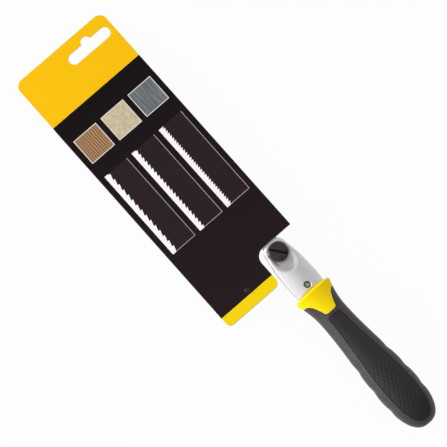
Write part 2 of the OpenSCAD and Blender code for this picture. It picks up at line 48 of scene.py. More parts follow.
def linear(code):
    """A colour written as an sRGB hex value, as linear red, green, blue and alpha."""
    channels = [int(code[i:i + 2], 16) / 255 for i in (1, 3, 5)]
    return tuple(c / 12.92 if c <= 0.04045 else ((c + 0.055) / 1.055) ** 2.4 for c in channels) + (1.0,)


standing_nodes = ("Principled BSDF", "Material Output", "Background")


def add_node(material, kind, inputs, **settings):
    """Adds a node of a kind, or takes the one that stands there from the start, with its settings and links."""
    tree = material.node_tree
    made = tree.nodes[kind] if kind in standing_nodes else tree.nodes.new("ShaderNode" + kind)
    for name, value in settings.items():
        setattr(made, name, value)
    for socket, value in inputs.items():
        if isinstance(value, bpy.types.NodeSocket):
            tree.links.new(value, made.inputs[socket])
        else:
            made.inputs[socket].default_value = value
    return made


def new_material(name):
    """A material with the default shader, and the socket that gives a point's place in metres."""
    material = bpy.data.materials.new(name)
    material.use_nodes = True
    return material, add_node(material, "TexCoord", {}).outputs["Object"]


merge_gap, flat_angle = 0.02 * mm, math.radians(0.5)


def copy_part(name, node):
    """A piece with its own merged copy of a part's mesh, alone selected and active."""
    bpy.ops.object.select_all(action="DESELECT")
    piece = bpy.data.objects.new(name, parts[node].data.copy())
    bpy.context.collection.objects.link(piece)
    bpy.context.view_layer.objects.active = piece
    piece.select_set(True)
    piece.data.materials.clear()
    bpy.ops.object.mode_set(mode="EDIT")
    bpy.ops.mesh.select_all(action="SELECT")
    bpy.ops.mesh.remove_doubles(threshold=merge_gap)
    bpy.ops.mesh.dissolve_limited(angle_limit=flat_angle)
    bpy.ops.object.mode_set(mode="OBJECT")
    return piece


def fit(piece, body, slot, material, *nodes):
    """Gives a finished piece its material, the body that carries it and the parts it stands for; the slot argument is
    not used.
    """
    piece.data.materials.append(material)
    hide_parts(*nodes)
    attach(piece, body)


recess_end, recess_floor, recess_rim, recess_base = -6.8, 5.5, 8.8, 4.2
shade_until, unshaded_from = 1.0, 5.0

# Satin plate over a tumbled casting: a soft, slightly uneven sheen with no sharp reflections.
# Round the screw and behind it, the recess is painted greyer: painted shade where the screw head shadows it.
satin_zinc, place = new_material("satin_plated_zinc")
tumbled = add_node(satin_zinc, "TexNoise", {"Vector": place, "Scale": 1 / (0.5 * mm), "Detail": 5})
flow = add_node(satin_zinc, "TexNoise", {"Vector": place, "Scale": 1 / (14 * mm), "Detail": 2})
sheen = add_node(satin_zinc, "MapRange", {"Value": flow.outputs["Fac"], "To Min": 0.42, "To Max": 0.52})
tint = add_node(satin_zinc, "MixRGB", {
    "Fac": tumbled.outputs["Fac"], "Color1": linear("#d0cfd1"), "Color2": linear("#dcdbdd")})
spot = add_node(satin_zinc, "SeparateXYZ", {"Vector": place}).outputs
run = add_node(satin_zinc, "Clamp", {"Value": spot["X"], "Min": recess_end * mm, "Max": 0.0})
axis = add_node(satin_zinc, "CombineXYZ", {"X": run.outputs["Result"], "Z": spot["Z"]})
away = add_node(satin_zinc, "VectorMath", {0: place, 1: axis.outputs["Vector"]}, operation="DISTANCE")
# Painted shade: a greyer colour in the recess round and behind the screw, fading out towards the rim and ahead of the
# screw.
recess_shade = add_node(satin_zinc, "MapRange", {
    "Value": away.outputs["Value"], "From Min": recess_floor * mm, "From Max": recess_rim * mm,
    "To Min": 1.0, "To Max": 0.0}, interpolation_type="SMOOTHSTEP")
behind = add_node(satin_zinc, "MapRange", {
    "Value": spot["X"], "From Min": shade_until * mm, "From Max": unshaded_from * mm, "To Min": 1.0, "To Max": 0.0})
recess_shade = add_node(satin_zinc, "Math", {0: recess_shade.outputs["Result"], 1: behind.outputs["Result"]}, operation="MULTIPLY")
tint = add_node(satin_zinc, "MixRGB", {
    "Fac": recess_shade.outputs[0], "Color1": tint.outputs["Color"], "Color2": linear("#bebcbc")})
relief = add_node(satin_zinc, "Bump", {
    "Height": tumbled.outputs["Fac"], "Strength": 0.12, "Distance": 0.03 * mm})
add_node(satin_zinc, "Principled BSDF", {
    "Base Color": tint.outputs["Color"], "Metallic": 1.0,
    "Roughness": sheen.outputs["Result"], "Normal": relief.outputs["Normal"]})


def tumble(piece, grain, passes):
    """Wears a piece's edges round, as tumbling does: an even fine mesh, smoothed a number of times."""
    even = piece.modifiers.new("even", "REMESH")
    even.mode, even.voxel_size, even.use_smooth_shade = "VOXEL", grain, True
    bpy.ops.object.modifier_apply(modifier="even")
    worn = piece.modifiers.new("worn", "SMOOTH")
    worn.factor, worn.iterations = 0.5, passes
    bpy.ops.object.modifier_apply(modifier="worn")


rear_jaw = copy_part("rear_jaw_casting", "rear_jaw")
tumble(rear_jaw, grain=0.3 * mm, passes=6)
fit(rear_jaw, "handle", "cast_jaw", satin_zinc, "rear_jaw")
front_jaw = copy_part("front_jaw_casting", "front_jaw")
tumble(front_jaw, grain=0.22 * mm, passes=16)
corners = np.zeros(len(front_jaw.data.vertices) * 3)
front_jaw.data.vertices.foreach_get("co", corners)
x, y, z = corners.reshape(-1, 3).T / mm
from_axis = np.hypot(x - np.clip(x, recess_end, 0), y)
recess = front_jaw.vertex_groups.new(name="recess")

# The recess blends into the face: how far from its axis, how far forwards and how strongly.
blend_bands = ((10.2, 5.0, 0.02), (9.8, 4.0, 0.06), (9.4, 3.0, 0.2), (9.0, 2.0, 0.5), (8.6, 1.0, 1.0))
for reach, front, weight in blend_bands:
    blended = (from_axis > recess_floor) & (from_axis < reach) & (x < front) & (z > recess_base)
    recess.add(np.flatnonzero(blended).tolist(), weight, "REPLACE")
dish = front_jaw.modifiers.new("dish", "SMOOTH")
dish.factor, dish.iterations, dish.vertex_group = 0.5, 240, "recess"
bpy.ops.object.modifier_apply(modifier="dish")
fit(front_jaw, "jaw", "cast_jaw", satin_zinc, "front_jaw")


# Small steel parts of the head: hexagon nut, washer, coil spring and two tang pins.
# They are cold formed or turned and zinc plated, and only the nut can be seen.

# Zinc plate on steel: a bright, cool grey with a slightly clouded shine.
bright_zinc, place = new_material("zinc_plated_steel")
speckle = add_node(bright_zinc, "TexNoise", {"Vector": place, "Scale": 1 / (0.3 * mm), "Detail": 3})
dulling = add_node(bright_zinc, "MapRange", {"Value": speckle.outputs["Fac"], "To Min": 0.22, "To Max": 0.4})
add_node(bright_zinc, "Principled BSDF", {
    "Base Color": linear("#c3c5c9"), "Metallic": 1.0, "Roughness": dulling.outputs["Result"]})


def soften(width, steps=2, angle=40):
    """Rounds the active piece's sharp edges to a width, and shades it smooth with its flats left flat."""
    bpy.ops.object.mode_set(mode="EDIT")
    bpy.ops.mesh.select_mode(type="EDGE")
    bpy.ops.mesh.select_all(action="DESELECT")
    bpy.ops.mesh.edges_select_sharp(sharpness=math.radians(angle))
    bpy.ops.mesh.bevel(offset=width, segments=steps, affect="EDGES")
    bpy.ops.object.mode_set(mode="OBJECT")
    bpy.ops.object.shade_smooth_by_angle(angle=math.radians(angle))
    flats = bpy.context.object.modifiers.new("flats", "WEIGHTED_NORMAL")
    flats.keep_sharp = True
    bpy.ops.object.modifier_apply(modifier="flats")


steel_edge = 0.12 * mm
for name, node, body in (("hexagon_nut", "clamp_nut", "handle"), ("plain_washer", "clamp_washer", "washer")):
    steel_part = copy_part(name, node)
    soften(steel_edge)
    fit(steel_part, body, "plain_steel", bright_zinc, node)
for node in ("jaw_spring", "tang_pins"):
    parts[node].data.materials.clear()
    parts[node].data.materials.append(bright_zinc)


# Clamp screw: turned from steel bar with a wide slot for a coin, then blackened and oiled.
# The facing cut leaves fine rings round its axis, which is the frame's own Z axis.
cut_pitch, slot_turn, slot_half, slot_lip = 0.35 * mm, 37, 0.85 * mm, 0.2 * mm
head_top, screw_edge = 9.8 * mm, 0.15 * mm

# Black oxide under oil: nearly black with a dull sheen, and the slot painted near black as painted shade inside it.
black_oxide, place = new_material("black_oxide_steel")
rings = add_node(black_oxide, "TexWave", {"Vector": place, "Scale": math.pi / (10 * cut_pitch), "Distortion": 0.4},
                 wave_type="RINGS", rings_direction="Z")
oil = add_node(black_oxide, "TexNoise", {"Vector": place, "Scale": 1 / (3 * mm), "Detail": 4})
black = add_node(black_oxide, "MixRGB", {
    "Fac": oil.outputs["Fac"], "Color1": linear("#292124"), "Color2": linear("#40363a")})
slot_line = add_node(black_oxide, "Mapping", {"Vector": place, "Rotation": (0, 0, math.radians(-slot_turn))})
slot_line = add_node(black_oxide, "SeparateXYZ", {"Vector": slot_line.outputs["Vector"]}).outputs
# Painted shade: the slot's walls and floor, below a lip under the head's top, are painted near black.
between_walls = add_node(black_oxide, "Math", {0: slot_line["Y"], 1: 0, 2: slot_half}, operation="COMPARE")
below_top = add_node(black_oxide, "Math", {0: slot_line["Z"], 1: head_top - slot_lip}, operation="LESS_THAN")
slot_shade = add_node(black_oxide, "Math", {0: between_walls.outputs[0], 1: below_top.outputs[0]}, operation="MULTIPLY")
black = add_node(black_oxide, "MixRGB", {
    "Fac": slot_shade.outputs[0], "Color1": black.outputs["Color"], "Color2": linear("#060304")})
gloss = add_node(black_oxide, "MapRange", {"Value": oil.outputs["Fac"], "To Min": 0.38, "To Max": 0.52})
cut = add_node(black_oxide, "Bump", {"Height": rings.outputs["Fac"], "Strength": 0.2, "Distance": 0.02 * mm})
add_node(black_oxide, "Principled BSDF", {
    "Base Color": black.outputs["Color"], "Metallic": 0.6,
    "Roughness": gloss.outputs["Result"], "Normal": cut.outputs["Normal"]})

clamp_screw = copy_part("slotted_clamp_screw", "clamp_screw")
soften(screw_edge)
fit(clamp_screw, "screw", "black_steel", black_oxide, "clamp_screw")


# Heel screw: a small blackened socket screw that keeps the front jaw at its heel.
# It sits in a counterbore, and the hexagon key has worn its socket bright.
heel_x, worn_radius = -29 * mm, 1.05 * mm

# Black oxide rubbed thin: a dull mid grey, with bare bright steel in the socket.
worn_oxide, place = new_material("worn_black_oxide_steel")
off_axis = add_node(worn_oxide, "Mapping", {"Vector": place, "Location": (-heel_x, 0, 0), "Scale": (1, 1, 0)})
off_axis = add_node(worn_oxide, "VectorMath", {0: off_axis.outputs["Vector"]}, operation="LENGTH")
bright = add_node(worn_oxide, "Math", {0: off_axis.outputs["Value"], 1: worn_radius}, operation="LESS_THAN")
oxide = add_node(worn_oxide, "MixRGB", {
    "Fac": bright.outputs[0], "Color1": linear("#787676"), "Color2": linear("#c0c2be")})
add_node(worn_oxide, "Principled BSDF", {"Base Color": oxide.outputs["Color"], "Metallic": 0.8, "Roughness": 0.45})

heel_screw = copy_part("heel_socket_screw", "heel_screw")
soften(steel_edge)
fit(heel_screw, "handle", "black_steel", worn_oxide, "heel_screw")


# Handle core: one injection moulding in yellow polypropylene, with a flared collar round the head.
# A shield on the front and one on the back stand through the rubber; the rest lies under it.
face_x, flank_x, shield_x, waist_x = -33.8, -40.3, -53.1, -55.3
panel_x, belly_x, butt_x = -55.5, -121.8, -151.8
collar_round = 1.5
rim_x = face_x - collar_round
widths, heights = (28.6, 21.4, 29.4), (23.6, 19.2, 24.8)
fullness, squareness = 2.5, 2.35
shield_tip, shield_top, shield_hollow = 4.4, 9.9, 1.3
tip_corner, lobe_corner, lobe_reach = 1.6, 3.6, 0.97
panel_front, panel_belly, panel_gap, panel_corner, panel_reach = 5.2, 10.2, 3.3, 1.6, 0.995
rubber_depth, relax_passes, core_edge, crease = 2.55, 6, 0.06 * mm, 50


def ease(start, end, share):
    """A smooth change from start to end as share goes from 0 to 1."""
    return start + (end - start) * (1 - np.cos(np.pi * np.clip(share, 0, 1))) / 2


def dome(share):
    """Height of the full, rounded end of the handle, from 1 down to 0."""
    return (1 - np.clip(share, 0, 1) ** fullness) ** (1 / fullness)


def half_size(x, collar, waist, belly):
    """Half of the handle's width or height at x, from the rounded collar over the waist to the butt."""
    lip = collar_round * (1 - np.sqrt(1 - np.clip((x - rim_x) / collar_round, 0, 1) ** 2))
    flare = waist + (collar - waist) * ((np.clip(x, waist_x, rim_x) - waist_x) / (rim_x - waist_x)) ** 2
    swell = ease(waist, belly, (waist_x - x) / (waist_x - belly_x))
    butt = belly * dome((belly_x - x) / (belly_x - butt_x))
    return np.select([x > waist_x, x > belly_x], [flare / 2 - lip, swell / 2], butt / 2)


def shield_half(x):
    """Half width of a shield: a blunt rounded tip, hollow sides and corners that run out round the collar."""
    share = np.clip((x - shield_x) / (flank_x - shield_x), 0, 1)
    side = shield_tip + (shield_top - shield_tip) * share ** shield_hollow
    inset = np.clip(tip_corner - (x - shield_x), 0, tip_corner)
    flare = 1 - np.sqrt(1 - np.clip(1 - (flank_x - x) / lobe_corner, 0, 1) ** 2)
    side = side + (lobe_reach * half_size(x, *widths) - side) * flare
    return side - (tip_corner - np.sqrt(tip_corner ** 2 - inset ** 2))


def panel_half(x, groove):
    """Half width of a grip panel or, with no groove, of its window in the rubber."""
    side = ease(panel_front, panel_belly, (shield_x - x) / (shield_x - belly_x)) - groove
    end = (panel_belly - groove) * dome((belly_x - x) / (belly_x - butt_x - panel_gap - groove))
    corner = panel_corner - groove
    inset = np.clip(corner - (panel_x - groove - x), 0, corner)
    return np.where(x > belly_x, side, end) - (corner - np.sqrt(corner ** 2 - inset ** 2))


window_end_x = belly_x - panel_reach * (belly_x - butt_x - panel_gap)


def border_half(x):
    """Half width of the front and back zone at x, where the shield or the panel window ends."""
    window = panel_half(np.clip(x, window_end_x, panel_x), 0)
    between = np.interp(x, [panel_x, shield_x], [panel_half(np.array(panel_x), 0), shield_half(np.array(shield_x))])
    width = half_size(x, *widths)
    closing = window * width / half_size(np.array(window_end_x), *widths)
    return np.select([x >= flank_x, x >= shield_x, x > panel_x, x >= window_end_x],
                     [lobe_reach * width, shield_half(x), between, window], closing)


def ring_angles(x, border, flank_columns, zone_columns):
    """Angles of the points round the handle: right flank, front zone, left flank, back zone."""
    limit = np.arccos(np.clip(border / half_size(x, *widths), 0, 1) ** (squareness / 2))[:, None]
    flank = limit * np.linspace(-1, 1, flank_columns, endpoint=False)
    zone = limit + (np.pi - 2 * limit) * np.linspace(0, 1, zone_columns, endpoint=False)
    return np.hstack([flank, zone, np.pi + flank, np.pi + zone, 2 * np.pi - limit])


def skin(x, angles):
    """Points of the handle's skin at rows x and the angles of each row, in millimetres."""
    spots = []
    for sizes, turn in ((widths, np.cos(angles)), (heights, np.sin(angles))):
        spots.append(half_size(x, *sizes)[:, None] * np.sign(turn) * np.abs(turn) ** (2 / squareness))
    return np.dstack([np.broadcast_to(x[:, None], angles.shape), *spots])


def lay_grid(name, points):
    """A grid primitive whose vertices are laid on a table of points, alone selected and active."""
    bpy.ops.object.select_all(action="DESELECT")
    bpy.ops.mesh.primitive_grid_add(x_subdivisions=points.shape[1] - 1, y_subdivisions=points.shape[0] - 1)
    piece = bpy.context.object
    piece.name = piece.data.name = name
    piece.data.vertices.foreach_set("co", (points * mm).astype(np.float32).ravel())
    piece.data.update()
    return piece


seam_gap = 0.001 * mm


def close_ring():
    """Merges the active grid's seam and closes its open ends with a face each."""
    bpy.ops.object.mode_set(mode="EDIT")
    bpy.ops.mesh.select_all(action="SELECT")
    bpy.ops.mesh.remove_doubles(threshold=seam_gap)
    bpy.ops.mesh.select_mode(type="EDGE")
    bpy.ops.mesh.select_all(action="DESELECT")
    bpy.ops.mesh.select_non_manifold(extend=False)
    bpy.ops.mesh.edge_face_add()
    bpy.ops.object.mode_set(mode="OBJECT")


def pick_faces(piece, wanted):
    """Opens a piece in edit mode with only those faces selected whose middle and normal are wanted."""
    bpy.ops.object.mode_set(mode="EDIT")
    bpy.ops.mesh.select_mode(type="FACE")
    bpy.ops.mesh.select_all(action="DESELECT")
    bpy.ops.object.mode_set(mode="OBJECT")
    middle, normal = np.zeros((2, len(piece.data.polygons) * 3))
    piece.data.polygons.foreach_get("center", middle)
    piece.data.polygons.foreach_get("normal", normal)
    piece.data.polygons.foreach_set("select", wanted(middle.reshape(-1, 3) / mm, normal.reshape(-1, 3)))
    bpy.ops.object.mode_set(mode="EDIT")


# Moulded polypropylene: an even, strong yellow with a satin skin and faint flow marks.
yellow_plastic, place = new_material("moulded_polypropylene")
flow = add_node(yellow_plastic, "TexNoise", {"Vector": place, "Scale": 1 / (9 * mm), "Detail": 3})
moulded = add_node(yellow_plastic, "TexNoise", {"Vector": place, "Scale": 1 / (0.35 * mm), "Detail": 3})
yellow = add_node(yellow_plastic, "MixRGB", {
    "Fac": flow.outputs["Fac"], "Color1": linear("#fad500"), "Color2": linear("#ffde00")})
satin = add_node(yellow_plastic, "MapRange", {"Value": flow.outputs["Fac"], "To Min": 0.42, "To Max": 0.52})
relief = add_node(yellow_plastic, "Bump", {
    "Height": moulded.outputs["Fac"], "Strength": 0.06, "Distance": 0.02 * mm})
add_node(yellow_plastic, "Principled BSDF", {
    "Base Color": yellow.outputs["Color"], "Roughness": satin.outputs["Result"],
    "Specular IOR Level": 0.12, "Normal": relief.outputs["Normal"]})

# Rows from the butt to the collar, closer together where the outline turns fast.
pole_turn, dome_spread = np.radians(89.5), 0.8
dome_rows, swell_rows, neck_rows, shield_rows, collar_rows, lip_rows = 24, 24, 3, 41, 6, 9
core_columns = 28
core_x = np.concatenate([
    belly_x - (belly_x - butt_x) * np.sin(np.linspace(pole_turn, 0, dome_rows)) ** dome_spread,
    np.linspace(belly_x, waist_x, swell_rows)[1:],
    np.linspace(waist_x, shield_x, neck_rows)[1:], np.linspace(shield_x, flank_x, shield_rows)[1:],
    np.linspace(flank_x, rim_x, collar_rows)[1:],
    rim_x + collar_round * np.sin(np.radians(np.linspace(0, 90, lip_rows)[1:]))])
core_angles = ring_angles(core_x, border_half(core_x), core_columns, core_columns)


def under_rubber(middle, normal):
    """Faces of the core's skin that the rubber covers."""
    x, y = middle[:, 0], np.abs(middle[:, 1])
    return (x < shield_x) | ((x < flank_x) & (y > np.interp(x, core_x, border_half(core_x))))


handle_core = lay_grid("handle_core_moulding", skin(core_x, core_angles))
close_ring()
pick_faces(handle_core, under_rubber)
bpy.ops.mesh.extrude_region_shrink_fatten(TRANSFORM_OT_shrink_fatten={"value": -rubber_depth * mm})

# The floor under the rubber is relaxed, so that it has no folds at the ends of the shields.
bpy.ops.mesh.vertices_smooth(factor=0.5, repeat=relax_passes)
bpy.ops.object.mode_set(mode="OBJECT")
soften(core_edge, angle=crease)
fit(handle_core, "handle", "core_plastic", yellow_plastic, "handle_core")


# Rubber grip: a soft black skin moulded over the core, 2.4 mm thick, with shallow finger notches
# along both flanks and a window on the front and back that takes a panel.
rubber_wall, window_depth, wall_fill = 2.35, 1.45, 0.75
notch_x, notch_width, notch_depth = (-94.5, -111.5, -128.5), 3.3, 0.6


def outward(points):
    """Unit normals of a table of points laid from the butt to the collar."""
    normal = np.cross(np.gradient(points, axis=1), np.gradient(points, axis=0))
    return normal / np.maximum(np.linalg.norm(normal, axis=2, keepdims=True), 1e-9)


# Thermoplastic rubber from an eroded mould: a deep, even matt that turns pale grey at a low angle.
# Its grain is drawn several times coarser than the real one, so that it shows.
rubber, place = new_material("thermoplastic_rubber")
eroded = add_node(rubber, "TexNoise", {"Vector": place, "Scale": 1 / (0.8 * mm), "Detail": 5})
bloom = add_node(rubber, "TexNoise", {"Vector": place, "Scale": 1 / (12 * mm), "Detail": 3})
black = add_node(rubber, "MixRGB", {
    "Fac": bloom.outputs["Fac"], "Color1": linear("#2c292b"), "Color2": linear("#353133")})
matt = add_node(rubber, "MapRange", {"Value": eroded.outputs["Fac"], "To Min": 0.42, "To Max": 0.6})
relief = add_node(rubber, "Bump", {"Height": eroded.outputs["Fac"], "Strength": 0.5, "Distance": 0.12 * mm})
add_node(rubber, "Principled BSDF", {
    "Base Color": black.outputs["Color"], "Roughness": matt.outputs["Result"],
    "Normal": relief.outputs["Normal"], "Specular IOR Level": 0.5})

window_turn = np.arcsin(panel_reach ** (1 / dome_spread))
closing_turn = np.arcsin(((belly_x - window_end_x) / (belly_x - butt_x)) ** (1 / dome_spread))
closing_rows, window_rows, side_rows, gap_rows = 14, 48, 84, 4
corner_rows = 6
corner_turn = np.radians(np.linspace(0, 90, corner_rows)[1:])
rubber_x = np.concatenate([
    belly_x - (belly_x - butt_x) * np.sin(np.linspace(pole_turn, closing_turn, closing_rows)) ** dome_spread,
    belly_x - (belly_x - butt_x - panel_gap) * np.sin(np.linspace(window_turn, 0, window_rows)[1:]) ** dome_spread,
    np.linspace(belly_x, panel_x - panel_corner, side_rows)[1:],
    panel_x - panel_corner * (1 - np.sin(corner_turn)),
    np.linspace(panel_x, shield_x, gap_rows)[1:], np.linspace(shield_x, flank_x, shield_rows)[1:]])
flank_columns, zone_columns, pole_slack = 40, 18, 0.1
rubber_points = skin(rubber_x, ring_angles(rubber_x, border_half(rubber_x), flank_columns, zone_columns))
flank_bow = 1 - np.linspace(-1, 1, flank_columns, endpoint=False) ** 2
bow = np.concatenate([flank_bow, np.zeros(zone_columns), flank_bow, np.zeros(zone_columns + 1)])
notches = sum(np.exp(-((rubber_x - x) / notch_width) ** 2) for x in notch_x)
rubber_points = rubber_points - notch_depth * (notches[:, None] * bow)[:, :, None] * outward(rubber_points)


def pick_edges(piece, wanted):
    """Opens a piece in edit mode with only those edges selected whose ends are wanted."""
    bpy.ops.object.mode_set(mode="EDIT")
    bpy.ops.mesh.select_mode(type="EDGE")
    bpy.ops.mesh.select_all(action="DESELECT")
    bpy.ops.object.mode_set(mode="OBJECT")
    corners = np.zeros(len(piece.data.vertices) * 3)
    ends = np.zeros(len(piece.data.edges) * 2, int)
    piece.data.vertices.foreach_get("co", corners)
    piece.data.edges.foreach_get("vertices", ends)
    piece.data.edges.foreach_set("select", wanted(corners.reshape(-1, 3)[ends.reshape(-1, 2)] / mm))
    bpy.ops.object.mode_set(mode="EDIT")


def in_shield(middle, normal):
    """Faces of the skin where a shield stands through the rubber."""
    x, y = middle[:, 0], np.abs(middle[:, 1])
    return (x > shield_x) & (y < np.interp(x, rubber_x, border_half(rubber_x)))


def in_window(middle, normal):
    """Outer faces of the rubber where a panel is let in."""
    x, y = middle[:, 0], np.abs(middle[:, 1])
    inside = (x < panel_x) & (x > window_end_x) & (y < np.interp(x, rubber_x, border_half(rubber_x)))
    return inside & (np.sign(middle[:, 2]) * normal[:, 2] > 0)


def inside_lobes(middle, normal):
    """Inner faces of the rubber at the corners beside the collar."""
    x, y, z = middle.T
    fill = np.abs(y / half_size(x, *widths)) ** squareness + np.abs(z / half_size(x, *heights)) ** squareness
    return (x > flank_x - lobe_corner) & (fill < wall_fill)


grip = lay_grid("rubber_grip", rubber_points)
bpy.ops.object.mode_set(mode="EDIT")
bpy.ops.mesh.select_all(action="SELECT")
bpy.ops.mesh.remove_doubles(threshold=seam_gap)
bpy.ops.object.mode_set(mode="OBJECT")
pick_edges(grip, lambda ends: (ends[:, :, 0] < butt_x + pole_slack).all(axis=1))
bpy.ops.mesh.edge_face_add()
bpy.ops.object.mode_set(mode="OBJECT")
pick_faces(grip, in_shield)
bpy.ops.mesh.delete(type="FACE")
bpy.ops.object.mode_set(mode="OBJECT")
wall = grip.modifiers.new("wall", "SOLIDIFY")
wall.thickness, wall.offset = rubber_wall * mm, -1
bpy.ops.object.modifier_apply(modifier="wall")
pick_faces(grip, inside_lobes)
bpy.ops.mesh.vertices_smooth(factor=0.5, repeat=relax_passes)
bpy.ops.object.mode_set(mode="OBJECT")
pick_faces(grip, in_window)
bpy.ops.mesh.extrude_region_shrink_fatten(TRANSFORM_OT_shrink_fatten={"value": -window_depth * mm})
bpy.ops.object.mode_set(mode="OBJECT")
bpy.ops.object.shade_smooth_by_angle(angle=math.radians(crease))
fit(grip, "handle", "grip_rubber", rubber, "grip_overmould")


# Grip panels: one let into the rubber on the front and one on the back, with a fine groove round each.
# They are moulded in a harder black plastic, plain at the waist and cut with diamonds behind it.
groove, panel_wall, panel_sink = 0.4, 1.25, 0.03
diamond_l, diamond_w, diamond_depth, cut_half, plain_x = 5.2, 3.2, 0.24, 0.17, -97.0
plain_margin, margin_fade, plain_fade, panel_crease = 0.6, 0.8, 2.0, 62

# Hard moulded thermoplastic: a shade darker and a little duller than the rubber beside it.
panel_plastic, place = new_material("moulded_panel_plastic")
grain = add_node(panel_plastic, "TexNoise", {"Vector": place, "Scale": 1 / (0.5 * mm), "Detail": 4})
cloud = add_node(panel_plastic, "TexNoise", {"Vector": place, "Scale": 1 / (10 * mm), "Detail": 3})
black = add_node(panel_plastic, "MixRGB", {
    "Fac": cloud.outputs["Fac"], "Color1": linear("#181516"), "Color2": linear("#221e20")})
matt = add_node(panel_plastic, "MapRange", {"Value": grain.outputs["Fac"], "To Min": 0.45, "To Max": 0.62})
relief = add_node(panel_plastic, "Bump", {"Height": grain.outputs["Fac"], "Strength": 0.2, "Distance": 0.04 * mm})
add_node(panel_plastic, "Principled BSDF", {
    "Base Color": black.outputs["Color"], "Roughness": matt.outputs["Result"], "Specular IOR Level": 0.35,
    "Normal": relief.outputs["Normal"]})

panel_length = belly_x - butt_x - panel_gap - groove
end_turn, panel_end_rows, diamond_rows, plain_rows, panel_columns = np.radians(35), 32, 110, 30, 72
end_rows = belly_x - panel_length * np.sin(np.linspace(window_turn, end_turn, panel_end_rows)) ** dome_spread
panel_rows = np.concatenate([
    end_rows, np.linspace(end_rows[-1], plain_x, diamond_rows)[1:],
    np.linspace(plain_x, panel_x - groove - panel_corner, plain_rows)[1:],
    panel_x - groove - (panel_corner - groove) * (1 - np.sin(corner_turn))])
panel_share = panel_half(panel_rows, groove) / half_size(panel_rows, *widths)
panel_limit = np.arccos(panel_share ** (squareness / 2))[:, None]
across = np.linspace(0, 1, panel_columns)
for side, name, node in ((0, "front_panel", "front_grip_panel"), (np.pi, "rear_panel", "rear_grip_panel")):
    panel_points = skin(panel_rows, side + panel_limit + (np.pi - 2 * panel_limit) * across)
    x, y = panel_points[:, :, 0], panel_points[:, :, 1]
    cuts = np.zeros_like(x)
    for slant in (1, -1):
        phase = x / diamond_l + slant * y / diamond_w
        cuts = np.maximum(cuts, np.clip(1 - np.abs(phase - np.round(phase)) / cut_half, 0, 1))
    inner = np.minimum(panel_half(panel_rows, groove)[:, None] - np.abs(y), x - end_rows[0])
    cuts = cuts * np.clip((inner - plain_margin) / margin_fade, 0, 1) * np.clip((plain_x - x) / plain_fade, 0, 1)
    outside = outward(panel_points)
    panel = lay_grid(name, panel_points - panel_sink * outside)
    wall = panel.modifiers.new("wall", "SOLIDIFY")
    wall.thickness, wall.offset = panel_wall * mm, -1
    bpy.ops.object.modifier_apply(modifier="wall")

    # The diamonds are pressed into the outer face, and the inner one stays smooth.
    pressed = (panel_points - (panel_sink + diamond_depth * cuts)[:, :, None] * outside) * mm
    corners = np.zeros(len(panel.data.vertices) * 3)
    panel.data.vertices.foreach_get("co", corners)
    corners[:pressed.size] = pressed.ravel()
    panel.data.vertices.foreach_set("co", corners)
    panel.data.update()
    bpy.ops.object.shade_smooth_by_angle(angle=math.radians(panel_crease))
    fit(panel, "handle", "panel_plastic", panel_plastic, node)


# Saw blades: a fine-toothed metal blade in the jaws and a coarse wood blade kept beside it in the card.
# They are stamped and milled from spring steel strip, ground along their length and left bare.

# Ground spring steel: a cold grey shine drawn out in fine streaks along the blade.
ground_steel, place = new_material("ground_spring_steel")
drawn = add_node(ground_steel, "Mapping", {"Vector": place, "Scale": (0.04, 1, 1)})
scratch = add_node(ground_steel, "TexNoise", {
    "Vector": drawn.outputs["Vector"], "Scale": 1 / (0.35 * mm), "Detail": 5})
steel = add_node(ground_steel, "MixRGB", {
    "Fac": scratch.outputs["Fac"], "Color1": linear("#a9acb1"), "Color2": linear("#c9ccd1")})
gloss = add_node(ground_steel, "MapRange", {"Value": scratch.outputs["Fac"], "To Min": 0.24, "To Max": 0.44})
relief = add_node(ground_steel, "Bump", {"Height": scratch.outputs["Fac"], "Strength": 0.15, "Distance": 0.02 * mm})
add_node(ground_steel, "Principled BSDF", {
    "Base Color": steel.outputs["Color"], "Metallic": 1.0,
    "Roughness": gloss.outputs["Result"], "Normal": relief.outputs["Normal"]})
for node in ("metal_blade", "wood_blade"):
    parts[node].data.materials.clear()
    parts[node].data.materials.append(ground_steel)


# Card sleeve: a front and a back ply of solid bleached board, die-cut, folded and glued along the sides.
# The outside is printed in yellow and black and varnished; the cut edges and the inside stay bare.
card_face, card_middle_y, card_half_width = 1.25, 19.3, 38.3
slope_x, header_x, header_back, foot_x, seen_front = 158.75, 163.75, 0.35, -8.0, 0.5
swatch_x, swatch_size, swatch_rim, column_pitch = 138.0, 20.0, 0.6, 24.2
column_x, column_length, line_width = 81.0, 70.0, 0.5
strip_width, tooth_depth, tooth_pitches = 3.0, 1.5, (4.6, 3.2, 2.2)

# Varnished print on board: flat strong colours under a thin even gloss, with a faint fibre texture.
printed_board, place = new_material("printed_varnished_board")
spot = add_node(printed_board, "VectorMath", {0: place, "Scale": 1 / mm}, operation="SCALE").outputs["Vector"]
spot = add_node(printed_board, "SeparateXYZ", {"Vector": spot}).outputs
fibre = add_node(printed_board, "TexNoise", {"Vector": place, "Scale": 1 / (0.6 * mm), "Detail": 4}).outputs["Fac"]
mottle = add_node(printed_board, "TexNoise", {"Vector": place, "Scale": 1 / (6 * mm), "Detail": 3}).outputs["Fac"]


def printed_block(x, y, length, width):
    """Mask of a plain printed rectangle round a middle, in millimetres."""
    along = add_node(printed_board, "Math", {0: spot["X"], 1: x, 2: length / 2}, operation="COMPARE")
    across = add_node(printed_board, "Math", {0: spot["Y"], 1: y, 2: width / 2}, operation="COMPARE")
    block = add_node(printed_board, "Math", {0: along.outputs[0], 1: across.outputs[0]}, operation="MULTIPLY")
    return block.outputs[0]


